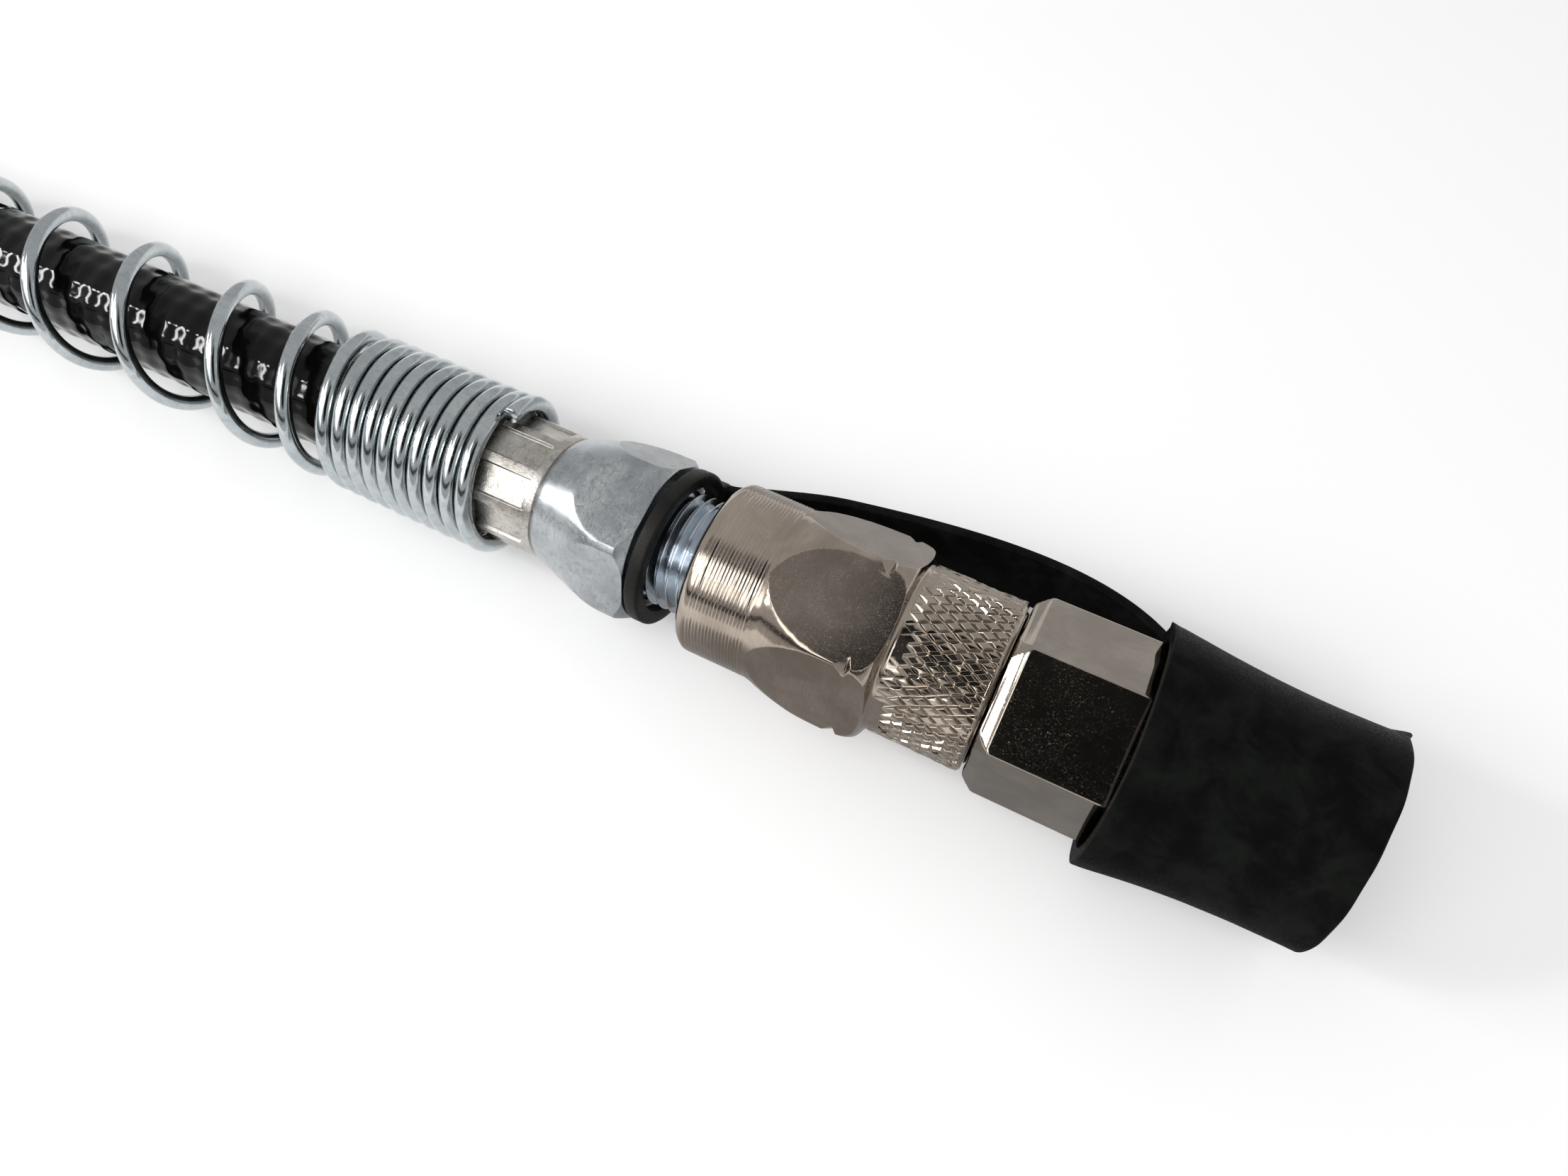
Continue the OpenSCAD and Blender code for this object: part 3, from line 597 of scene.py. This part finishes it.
# ---------------------------------------------------------------- stem
def stem_shape():
    """Round shoulder that becomes a hexagon, and inside the hose a ribbed tail."""
    tail_end, ribs, rib_pitch, tail_r, rib_r = -34, 6, 2.6, 2.12, 2.45
    radius, angles = hexagon(across=13.3, turn=STEM_TURN, corner=0.25)
    outer = smooth_line([(-14.6, 5.42), (-14.2, 5.62), (-13.2, 5.95), (-12.2, 6.3), (-11.2, 6.63),
                         (-10.4, 6.9), (-9.6, 7.14), (-8.9, 7.32), (-8.2, 7.44)], 3)
    outer += [(-7.4, 7.5), (-5.9, 7.5), (-5.7, 7.38), (-5.06, 6.85), (STEM_FACE, 6.75),
              (STEM_FACE, 4.4)]
    inner = [(STEM_FACE, STEM_BORE_R), (tail_end + 0.2, STEM_BORE_R), (tail_end, 1.8), (tail_end, 2.1)]
    tail = []
    for k in range(ribs):
        s = tail_end + rib_pitch * k
        tail += [(s + 0.05, tail_r), (s + 2.2, rib_r), (s + rib_pitch, rib_r), (s + 2.62, tail_r)]
    tail += [(-15.94, rib_r), (-15.94, 2.95), (-14.7, 2.95), (-14.6, 3.1)]
    return lathe(outer + inner + tail, angles, radius)


def thread_shape(hand):
    """The pipe thread with its bored end; hand is -1 where it stands end for end."""
    columns, pitch, crest, root, bevel = 90, 0.94, 5.05, 4.38, 0.25
    end, start_r, end_r = 6.2, 4.2, 3.9
    profile = np.array([0, 0, 0.2, 0.4, 0.6, 0.8, 1, 1, 0.8, 0.6, 0.4, 0.2])
    per_turn = len(profile)
    theta = np.arange(columns + 1) * 360 / columns
    u = np.arange(-per_turn * 14, per_turn * 16)
    s = (u[:, None] + hand * per_turn * theta[None, :] / 360) * pitch / per_turn
    r = root + (crest - root) * profile[u % per_turn][:, None] + 0 * s
    # The first and the last crests run out on slopes
    r = np.minimum(r, 4.3 + 1.1 * (end - s))
    r = np.maximum(np.minimum(r, 4.45 + 1.5 * (s - STEM_FACE)), end_r)
    r = np.where(s <= STEM_FACE, start_r, np.where(s >= end, end_r, r))
    s = np.clip(s, STEM_FACE, end)
    a = np.radians(theta)
    grid = np.stack([s, r * np.cos(a), r * np.sin(a)], axis=-1)
    grid[:, -1] = np.roll(grid[:, 0], -hand * per_turn, axis=0)
    grid = grid[per_turn + 1:-per_turn - 1]
    ends = rings([(end, end_r), (end, STEM_BORE_R + bevel), (end - bevel, STEM_BORE_R),
                  (STEM_FACE, STEM_BORE_R), (STEM_FACE, start_r)], theta)
    ends[:, -1] = ends[:, 0]
    grid = np.vstack([grid, ends])
    return grid, quads(len(grid), columns + 1, True, False), []


def build_stem(name, nodes, place, hand):
    """The stem and its thread, as two pieces."""
    head = make(name, stem_shape(), STEM, nodes, 22, place=place)
    thread = make(name + "_thread", thread_shape(hand), THREAD_ZINC_PAINTED_LIGHT, (), 24, place=place)
    return head, thread


# ---------------------------------------------------------------- coupler body
def body_shape():
    """Turned cylinder, hexagon with a V groove on its corners, seat of the grip and grooved neck."""
    turned_r, line_from, line_to, line_step, line_depth = 7.36, 0.95, 6.0, 0.29, 0.034
    grip_r, neck_from, neck_r, groove_r, neck_turns, face = 6.72, 24.5, 6.3, 5.9, 6, 31.0
    radius, angles = hexagon(across=14.8, turn=BODY_TURN, corner=0.16)
    rng = np.random.default_rng(11)
    outer = [(0, 6.75), (0.12, 6.95), (0.3, 7.12), (0.55, 7.3), (0.75, 7.35)]
    s = line_from
    while s < line_to:
        step = line_step + rng.uniform(-0.03, 0.03)
        deep = line_depth + rng.uniform(-0.012, 0.012)
        outer += [(s, turned_r), (s + step * 0.55, turned_r - deep),
                  (s + step * 0.78, turned_r - deep * 0.8)]
        s += step
    outer += smooth_line([(6.2, 7.37), (6.7, 7.47), (7.2, 7.63), (8.0, 7.86), (8.8, 8.06),
                          (9.8, 8.25), (10.8, 8.4), (12.0, 8.48)], 3)
    outer += [(13.5, 8.5), (14.25, 8.1), (14.36, 8.1), (14.72, 8.44)]
    outer += smooth_line([(15.1, 8.38), (15.6, 8.22), (16.05, 7.93), (16.3, 7.5), (16.5, 7.12),
                          (16.78, 7.0)], 3)
    outer += [(16.9, 7.03), (17.0, grip_r), (24.0, grip_r), (24.08, 7.02), (24.25, 6.98),
              (24.4, 6.84), (24.4, neck_r)]
    for s in neck_from + np.arange(neck_turns):
        outer += [(s, neck_r), (s + 0.35, groove_r), (s + 0.5, groove_r), (s + 0.85, neck_r)]
    outer += [(30.6, neck_r), (face, 5.95), (face, 4.55), (face - 0.15, BODY_BORE_R)]
    inner = [(16.0, BODY_BORE_R), (16.0, 2.7), (CHECK_SEAT, 2.7), (CHECK_SEAT, CHECK_SEAT_R),
             (7.2, CHECK_SEAT_R), (7.2, 5.1), (0.35, 5.1), (0, 5.45)]
    return lathe(outer + inner, angles, radius)


def knurl_shape():
    """Rolled diamonds, shallow and uneven where they run out towards the hexagon."""
    count, pitch, start = 50, 1.67, 16.0
    first, last, top, deep, core_r = 16.86, 24.2, 7.06, 0.3, 6.65
    fade_from, fade_over, low, high, cap_height = 17.1, 1.6, 0.2, 0.8, 0.92
    shake_s, shake_angle, shake_r = 0.045, 0.3, 0.02
    rng = np.random.default_rng(7)
    lifts, nudges = {}, {}
    points, faces = [], []

    def spot(u, v, height, lift):
        """Adds the point at u and v diamonds along the two cuts, and gives its number."""
        s, angle = pitch * (u - v) / 2 + start, 360 / count * (u + v) / 2
        wander = (0.35 * math.sin(math.radians(angle * 3 + 40))
                  + 0.25 * math.sin(math.radians(angle * 7)))
        fade = ease((s - fade_from - wander) / fade_over)
        r = top - deep * (1 - height) * fade + (lift if height > 0.4 else 0.3 * lift) * fade
        key = (round(2 * (u - v), 3), round((u + v) % (2 * count), 3))
        nudge = nudges.setdefault(key, rng.uniform(-1, 1, 3))
        s = s + shake_s * fade * nudge[0]
        a = math.radians(angle + shake_angle * fade * nudge[1])
        r = r + shake_r * fade * nudge[2]
        points.append((s, r * math.cos(a), r * math.sin(a)))
        return len(points) - 1

    span = math.ceil((last - start) / pitch) + 1
    for total in range(2 * count):
        for across in range(-1, 2 * span):
            if (total + across) % 2:
                continue
            u, v = (total + across) // 2, (total - across) // 2
            lift = lifts.setdefault((u - v, (u + v) % (2 * count)), rng.uniform(-0.045, 0.03))
            corners = [spot(u + a, v + b, 0, 0) for a, b in ((0, 0), (1, 0), (1, 1), (0, 1))]
            caps = [spot(u + a, v + b, cap_height, lift)
                    for a, b in ((low, low), (high, low), (high, high), (low, high))]
            centre = spot(u + 0.5, v + 0.5, 1.0, lift)
            for q in range(4):
                w = (q + 1) % 4
                faces.append([corners[q], corners[w], caps[w], caps[q]])
                faces.append([caps[q], caps[w], centre])
    points, faces, _ = weld(np.array(points), faces, [])
    return trimmed(points, faces, first, last, core_r)


def trimmed(points, faces, first, last, core_r):
    """A skin round the axis cut off square at two stations, its ends drawn in to core_r."""
    mesh = bpy.data.meshes.new("cut")
    mesh.from_pydata(points.tolist(), [], faces)
    bm = bmesh.new()
    bm.from_mesh(mesh)
    for at, way in ((first, -1), (last, 1)):
        bmesh.ops.bisect_plane(bm, geom=bm.verts[:] + bm.edges[:] + bm.faces[:],
                               plane_co=(at, 0, 0), plane_no=(way, 0, 0), clear_outer=True)
    edges = [e for e in bm.edges if e.is_boundary]
    made = bmesh.ops.extrude_edge_only(bm, edges=edges)["geom"]
    for v in (g for g in made if isinstance(g, bmesh.types.BMVert)):
        r = math.hypot(v.co.y, v.co.z)
        v.co.y, v.co.z = v.co.y / r * core_r, v.co.z / r * core_r
    bm.verts.index_update()
    points = np.array([v.co[:] for v in bm.verts])
    faces = [[v.index for v in f.verts] for f in bm.faces]
    bm.free()
    bpy.data.meshes.remove(mesh)
    # The order that the cuts leave changes from run to run, so points and faces are sorted
    points, faces, _ = weld(points, faces, [])
    return points, sorted(faces), []


# ---------------------------------------------------------------- nose nut
def nut_shape():
    """Hexagon with a rounded rear end, bevelled nose, mouth, jaw cone and room for the neck."""
    bar_r, neck_r, nose, mouth_r, cone_r = 8.11, 6.35, 41.0, 4.6, 5.971
    radius, angles = hexagon(across=14.1, turn=NUT_TURN, corner=0.14)
    rear_end = [(24.67, 6.6, 0.3), (24.67, 6.92, 0.58), (24.72, 7.08, 0.52), (24.8, 7.22, 0.47),
                (24.95, 7.36, 0.42), (25.05, 7.46, 0.365), (25.35, 7.74, 0.208), (25.7, 8.02, 0.02)]
    outer = [(25.76, 8.06, 0), (26.0, bar_r), (35.6, bar_r), (36.0, 8.05), (36.35, 7.7),
             (36.7, 7.2), (36.95, 6.85), (37.3, 6.74), (38.6, 6.72), (39.9, 6.62), (40.5, 6.42),
             (40.85, 6.15), (nose, 5.8)]
    inner = [(nose, 4.85), (40.88, 4.66), (40.7, mouth_r), (39.8, mouth_r), (34.3, cone_r),
             (34.3, neck_r), (24.95, neck_r), (24.7, 6.6)]
    return lathe(rear_end + outer + inner, angles, radius)


# ---------------------------------------------------------------- dust cap, ring and strap
def cap_shape():
    """A moulded cap, flared at the rim, with a leaning closed end and burrs at its seam's ends."""
    rim, end, end_wall, room_r, seat_r, throat, seam = 34.7, 50.85, 49.0, 7.0, 8.44, 38.9, 33
    outer = [(34.52, 8.46), (34.5, 8.62), (34.48, 9.45), (34.46, 9.62), (34.5, 9.72), (34.6, 9.74),
             (34.9, 9.71), (35.1, 9.7)]
    outer += smooth_line([(35.6, 9.64), (37, 9.44), (39, 9.18), (41, 8.96), (42.9, 8.79),
                          (45.8, 8.63), (48.5, 8.6), (49.8, 8.6)], 5)
    outer += [(50.4, 8.62), (50.7, 8.62), (50.8, 8.58), (end, 8.48), (end, 7.6), (end, 5.0),
              (50.77, 4.6), (50.75, 0.02)]
    inner = [(end_wall, 0.02), (end_wall, 6.4), (48.4, room_r), (39.5, room_r), (38.95, 7.25),
             (throat, seat_r), (rim, seat_r)]
    points, faces, sharp = lathe(outer + inner, np.arange(0, 360, 2.5))
    s, y, z = points.T
    r, a = np.hypot(y, z), np.arctan2(z, y)
    up, near = across_view(points)
    # Waves of the skin, stronger at the mouth
    wave = (0.035 * np.sin(2 * a + 0.7) + 0.02 * np.sin(3 * a + s * 0.35)
            + 0.015 * np.sin(5 * a - s * 0.5 + 1))
    wave = wave + grow(s, 37, 34.5) * (0.05 * np.sin(2 * a + 2.2) + 0.03 * np.sin(7 * a))
    k = (r + np.where(r > 8.5, wave - 0.06, 0.0)) / np.maximum(r, 1e-9)
    # The lip's waves, the lean of the closed end and the unevenness of its edge
    lip = np.where((r > 8.4) & (s < 36), 0.06 * np.sin(3 * a + 1.3) * grow(s, 36, 34.5), 0.0)
    lean = grow(s, 44, 50) * (0.055 * up - 0.07 * near + 0.35)
    edge = 0.05 * np.sin(4 * a + 1) * np.sin(9 * a) * grow(s, 50, 51)
    # The burrs
    burr = np.exp(-((np.degrees(a) - seam) / 5) ** 2) * np.where(r > 8, 1, 0)
    at_end, at_rim = grow(s, 50.2, 50.45), grow(s, rim, 34.5)
    k = k + burr * (0.03 * at_end + 0.012 * at_rim)
    shift = lip + burr * (0.3 * at_end - 0.22 * at_rim) + lean + edge
    return np.stack([s + shift, y * k, z * k], axis=-1), faces, sharp


def ring_shape():
    """A flat moulded ring, hanging a little askew, with a lug on which the strap is rooted."""
    back, face, ring_r, hole_r = -4.5, -3.28, 6.86, 5.62
    lug_top, lug_depth, lug_flat, lug_end = 7.45, 0.42, 17, 26
    angles = np.arange(0, 360, 2.0)
    off = np.abs((angles - STRAP_ROOT + 180) % 360 - 180)
    lug = ease(grow(off, lug_end, lug_flat))
    top = lug_top / np.cos(np.radians(np.minimum(off, lug_flat)))
    crown = ring_r + (top - ring_r) * lug
    last = face + lug_depth * lug
    rows = [(back, crown - 0.3), (back + 0.03, crown - 0.1), (back + 0.1, crown - 0.02),
            (back + 0.2, crown), (last - 0.22, crown), (last - 0.1, crown - 0.03),
            (last - 0.02, crown - 0.12), (last, crown - 0.3), (last, hole_r + 0.14),
            (last - 0.1, hole_r), (back + 0.1, hole_r), (back, hole_r + 0.14)]
    points = rings(rows, angles)
    up, near = across_view(points)
    points[..., 0] += (0.035 * up - 0.02 * near) * (1 - lug)
    return points.reshape(-1, 3), quads(len(rows), len(angles), True, True), []


def strap_shape():
    """A moulded band that bows out from the ring's lug to the cap's rim, twisted at its root."""
    half_width, root_half_width, half_thick, edge = 2.8, 2.3, 0.45, 0.12
    steps, root_share, root_end, sunk = 97, 0.31, 0.4, 0.45
    p = np.array([(-3.0, 7.45), (5.5, 8.34), (25.14, 16.27), (34.9, 9.05)])
    t = np.linspace(0, 1, steps)[:, None]
    line = ((1 - t) ** 3 * p[0] + 3 * t * (1 - t) ** 2 * p[1] + 3 * t * t * (1 - t) * p[2]
            + t ** 3 * p[3])
    line[:, 1] -= sunk * (1 - ease(grow(line[:, 0], p[0, 0], root_end)))
    way = np.gradient(line, axis=0)
    way /= np.linalg.norm(way, axis=1)[:, None]
    out = np.stack([-way[:, 1], way[:, 0]], axis=1)
    section = []
    for side, over, turn in ((1, 1, 0), (-1, 1, 90), (-1, -1, 180), (1, -1, 270)):
        for b in np.radians(turn + np.arange(0, 91, 30)):
            section.append((side * (half_width - edge) + edge * math.cos(b),
                            over * (half_thick - edge) + edge * math.sin(b)))
    w, h = np.array(section).T
    settled = ease(t / root_share)
    wide = (root_half_width + (half_width - root_half_width) * settled) / half_width
    s = line[:, :1] + out[:, :1] * h
    y = line[:, 1:] + out[:, 1:] * h
    z = wide * w
    a = np.radians(STRAP_ROOT + (STRAP_TURN - STRAP_ROOT) * settled)
    points = np.stack([s, y * np.cos(a) - z * np.sin(a), y * np.sin(a) + z * np.cos(a)], axis=-1)
    n = len(section)
    ends = [list(range(n)), list(range((steps - 1) * n, steps * n))]
    return points.reshape(-1, 3), quads(steps, n, False, True) + ends, []


# ---------------------------------------------------------------- inner parts
def coil_shape(first, last, turns, r, wire):
    """A compression spring between two stations, r from the axis to the middle of its wire."""
    steps, sides = 32, 12
    k = np.arange(turns * steps + 1) / steps
    a = 2 * np.pi * k
    s = first + (last - first) * k / turns
    path = np.stack([s, r * np.cos(a), r * np.sin(a)], axis=1)
    return sweep(path, np.stack([s, 0 * s, 0 * s], axis=1), wire / 2, sides)


def build_inner():
    """The seal and both springs. The other inner pieces are the CAD's and get their steel here."""
    jaw_wire, jaw_gap, jaw_turns, jaw_from, jaw_to = 0.8, 0.6, 4, 17.5, 25.2
    check_wire, check_r, check_turns, check_to = 0.4, 1.3, 3, 15.7
    ball_r, seat_gap, wire_gap, sides = 2.2, 0.03, 0.05, 8
    seal = [(31.78, 1.2), (31.78, 3.95), (31.9, 4.2), (32.1, 4.33), (34.2, 4.33), (34.42, 4.26),
            (34.48, 4.1), (34.48, 2.9), (34.1, 2.3), (33.6, 1.35), (33.3, 1.2)]
    make("seal_disc", lathe(seal), SEAL, ["nose_seal"], 30, "piston_body")

    body = body_of(frame["nodes"]["jaw_spring"])[0]
    jaw_r = BODY_BORE_R - jaw_gap - jaw_wire / 2
    shape = coil_shape(jaw_from, jaw_to, jaw_turns, jaw_r, jaw_wire)
    coil = make("jaw_coil", shape, WIRE, ["jaw_spring"], 50, body)
    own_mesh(coil)

    # The check spring starts where its wire lies on the ball, and the ball on its seat. The turns
    # of the CAD's spring have sides, and this one starts where that one does.
    centre = CHECK_SEAT + math.sqrt(ball_r ** 2 - CHECK_SEAT_R ** 2) + seat_gap
    reach = ball_r + check_wire / 2 + wire_gap
    start = centre + math.sqrt(reach ** 2 - (check_r * math.cos(math.pi / sides)) ** 2)
    shape = coil_shape(start, check_to, check_turns, check_r, check_wire)
    coil = make("check_coil", shape, WIRE, ["check_spring"], 50)
    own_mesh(coil)

    for node in ("jaw_1", "jaw_2", "jaw_3", "jaw_4", "piston", "check_retainer", "check_ball"):
        mesh = frame["nodes"][node].data
        mesh.materials.clear()
        mesh.materials.append(BALL if node == "check_ball" else STEEL)


# ---------------------------------------------------------------- stage
def stand(ob, place, target):
    """Puts a lamp or card in place, its -Z towards the target."""
    ob.location = place
    ob.rotation_euler = (Vector(target) - Vector(place)).to_track_quat("-Z", "Y").to_euler()
    bpy.context.scene.collection.objects.link(ob)


def lamp(name, place, target, size, radiance):
    """A rectangular lamp that the camera doesn't see."""
    data = bpy.data.lights.new(name, "AREA")
    data.shape, data.size, data.size_y = "RECTANGLE", size[0], size[1]
    data.energy = radiance * math.pi * size[0] * size[1]
    ob = bpy.data.objects.new(name, data)
    ob.visible_camera = False
    stand(ob, place, target)


def card(name, place, target, size, core, fade, level):
    """A dim card that only reflections see. It stands for what is round the object, and a card that lies on
    the floor is a painted shadow: it darkens the floor in reflections where the object's shadow falls.
    size is its half width and half height, and core and fade are where its soft edge starts and ends in
    them."""
    n = Nodes(name)
    n.tree.nodes.remove(n.shader)
    dim = n.add("ShaderNodeEmission")
    n.put(dim, Color=(level, level, level, 1), Strength=1.0)
    clear = n.add("ShaderNodeBsdfTransparent")
    scaled = n.add("ShaderNodeMapping")
    n.put(scaled, Vector=n.place, Scale=(1 / size[0], 1 / size[1], 1))
    square = n.add("ShaderNodeVectorMath", operation="MULTIPLY")
    length = n.add("ShaderNodeVectorMath", operation="LENGTH")
    both = n.add("ShaderNodeMixShader")
    n.put_at(square, 0, scaled.outputs[0])
    n.put_at(square, 1, scaled.outputs[0])
    n.put_at(length, 0, square.outputs[0])
    n.put_at(both, 0, n.range(length.outputs["Value"], core, fade))
    n.put_at(both, 1, dim.outputs[0])
    n.put_at(both, 2, clear.outputs[0])
    n.put_at(n.out, 0, both.outputs[0])
    mesh = bpy.data.meshes.new(name)
    w, h = size[0] * fade, size[1] * fade
    mesh.from_pydata([(-w, -h, 0), (w, -h, 0), (w, h, 0), (-w, h, 0)], [], [[0, 1, 2, 3]])
    mesh.materials.append(n.material)
    ob = bpy.data.objects.new(name, mesh)
    for key in ("visible_camera", "visible_diffuse", "visible_shadow", "visible_transmission"):
        setattr(ob, key, False)
    stand(ob, place, target)


def build_floor():
    """A pale disc with a little extra white for what looks at it, but none that lights."""
    tint, glow, floor_r, sides = 0.86, 0.08, 2.5, 64
    floor = Nodes("floor_paper")
    path = floor.add("ShaderNodeLightPath").outputs
    seen = floor.math("ADD", path["Is Camera Ray"], path["Is Glossy Ray"])
    seen = floor.math("ADD", seen, path["Is Transmission Ray"], clamp=True)
    floor.finish(Base_Color=(tint, tint, tint, 1), Roughness=0.9, Specular_IOR_Level=0.1,
                 Emission_Color=(1, 1, 1, 1), Emission_Strength=floor.times(seen, glow))
    mesh = bpy.data.meshes.new("floor")
    turns = [2 * math.pi * k / sides for k in range(sides)]
    ring = [(floor_r * math.cos(a), floor_r * math.sin(a), 0) for a in turns]
    mesh.from_pydata(ring, [], [list(range(sides))])
    mesh.materials.append(floor.material)
    ground = bpy.data.objects.new("floor", mesh)
    bpy.context.scene.collection.objects.link(ground)


def build_stage():
    """A pale floor, a dim white world, three lamps, cards that stand for dark surroundings and two cards on
    the floor that are a painted shadow in reflections.
    """
    world_level = 0.6
    bpy.context.scene.view_settings.view_transform = "Standard"
    build_floor()
    world = bpy.data.worlds.new("studio")
    bpy.context.scene.world = world
    world.use_nodes = True
    back = world.node_tree.nodes["Background"]
    back.inputs["Color"].default_value = (1, 1, 1, 1)
    back.inputs["Strength"].default_value = world_level

    lamp("window", place=(-0.17, -0.36, 0.5), target=(-0.01, 0, 0.01), size=(0.46, 0.54), radiance=2.8)
    lamp("key", place=(-0.42, -0.2, 0.34), target=(-0.06, 0, 0.01), size=(0.044, 0.044), radiance=60)
    lamp("left_box", place=(-0.5, -0.21, 0.285), target=(0.02, 0, 0.01), size=(0.2, 0.045), radiance=38)
    card("camera_flag", place=(0.0195, -0.0415, 0.0858), target=(0.004, -0.004, 0.012),
         size=(0.034, 0.046), core=0.7, fade=1.3, level=0.012)
    card("sleeve_flag", place=(-0.024, -0.016, 0.086), target=(0, -0.004, 0.014),
         size=(0.015, 0.02), core=0.6, fade=1.3, level=0.3)
    card("dark_wall", place=(0.0, -0.8, 0.24), target=(0, 0, 0.01),
         size=(1.2, 0.06), core=0.75, fade=1.1, level=0.05)
    # The two cards on the floor are painted shadow: in reflections they darken the floor under and behind
    # the object, where its shadow lies.
    card("table_shadow_card", place=(0.018, -0.012, 0.0003), target=(0.018, -0.012, -1),
         size=(0.035, 0.045), core=0.5, fade=1.4, level=0.36)
    card("far_shadow_card", place=(-0.008, 0.056, 0.0005), target=(-0.008, 0.056, -1),
         size=(0.03, 0.034), core=0.5, fade=1.4, level=0.52)


# ---------------------------------------------------------------- assembly
hose, hose_path = build_hose()
guard = build_guard()
make("front_crimp", ferrule_shape(), FERRULE, ["front_ferrule"], 18)
rear_crimp = make("rear_crimp", ferrule_shape(), FERRULE, ["rear_ferrule"], 18,
                  place=rear)
build_stem("front_fitting", ["front_stem"], front, 1)
rear_fitting, rear_thread = build_stem("rear_fitting", ["rear_stem"], rear, -1)
make("coupler", body_shape(), NICKEL, ["coupler_body"], 24)
make("coupler_grip", knurl_shape(), GRIP, (), 12)
make("nose_shell", nut_shape(), NUT, ["nose_nut"], 24, "nose")
make("cap", cap_shape(), CAP, ["dust_cap"], 40, "cap_body")
make("cap_ring", ring_shape(), RING_PAINTED_HIGHLIGHT, ["strap_ring"], 50, "ring_body")
strap = make("cap_band", strap_shape(), CAP, ["cap_strap"], 50, None)
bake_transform(strap, "ring_body", "cap_body", start=metres(-2.0, 7.5, -2.0), end=metres(34.0, 9.2, -1.6))
build_inner()
build_stage()
